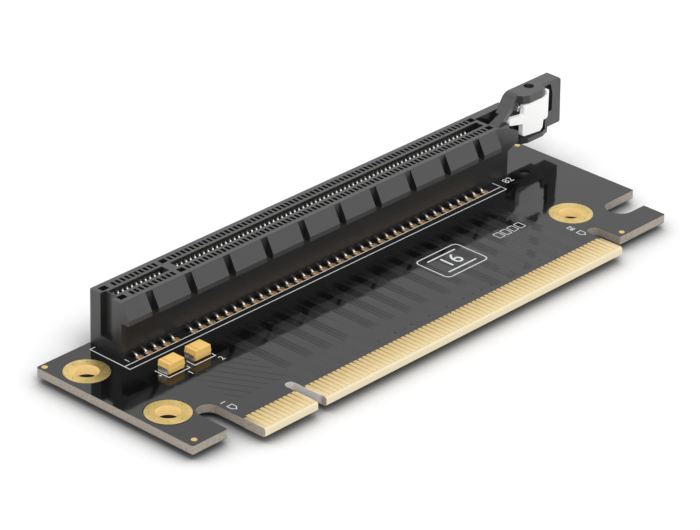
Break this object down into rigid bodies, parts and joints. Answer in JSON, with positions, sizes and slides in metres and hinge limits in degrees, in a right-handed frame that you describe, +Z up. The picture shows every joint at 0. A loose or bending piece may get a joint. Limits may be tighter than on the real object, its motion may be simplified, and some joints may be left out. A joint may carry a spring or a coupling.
{
  "type": "pcie riser card",
  "caption": "Right-angle riser card: black circuit board with a gold card edge, a long expansion slot with a white end latch, and plated mounting holes.",
  "frame": {"origin": "centre of the key notch at the insertion edge, on the board's top face", "axes": "+X along the slot towards the latch, +Y from the insertion edge to the back of the board, +Z up out of the slot"},
  "size_m": [0.1194, 0.0384, 0.0154],
  "materials": {
    "board_black": "gloss",
    "gold_plate": "satin",
    "slot_black": "matte",
    "contact_metal": "satin",
    "tin_plate": "satin",
    "capacitor_yellow": "satin",
    "latch_white": "satin",
    "steel": "satin"
  },
  "bodies": {
    "card": {"pcb_board": "board_black", "edge_fingers_top": "gold_plate", "edge_fingers_bottom": "gold_plate", "mounting_ring_front_left": "gold_plate", "mounting_ring_back_left": "gold_plate", "mounting_ring_right": "gold_plate", "alignment_spots": "gold_plate", "slot_housing": "slot_black", "contact_row_front": "contact_metal", "contact_row_back": "contact_metal", "solder_tails_row_1": "tin_plate", "solder_tails_row_2": "tin_plate", "solder_tails_row_3": "tin_plate", "solder_tails_row_4": "tin_plate", "capacitor_a_body": "capacitor_yellow", "capacitor_a_terminals": "tin_plate", "capacitor_b_body": "capacitor_yellow", "capacitor_b_terminals": "tin_plate", "latch_spring": "steel"},
    "latch": {"latch": "latch_white", "latch_pin": "steel"}
  },
  "joints": [
    {"name": "latch_pivot", "type": "hinge", "parent": "card", "child": "latch", "pos_m": [0.0882, 0.0345, 0.0078], "axis": [0, 0, 1], "range_deg": [0, 18], "stiffness_Nm_per_rad": 0.005}
  ]
}
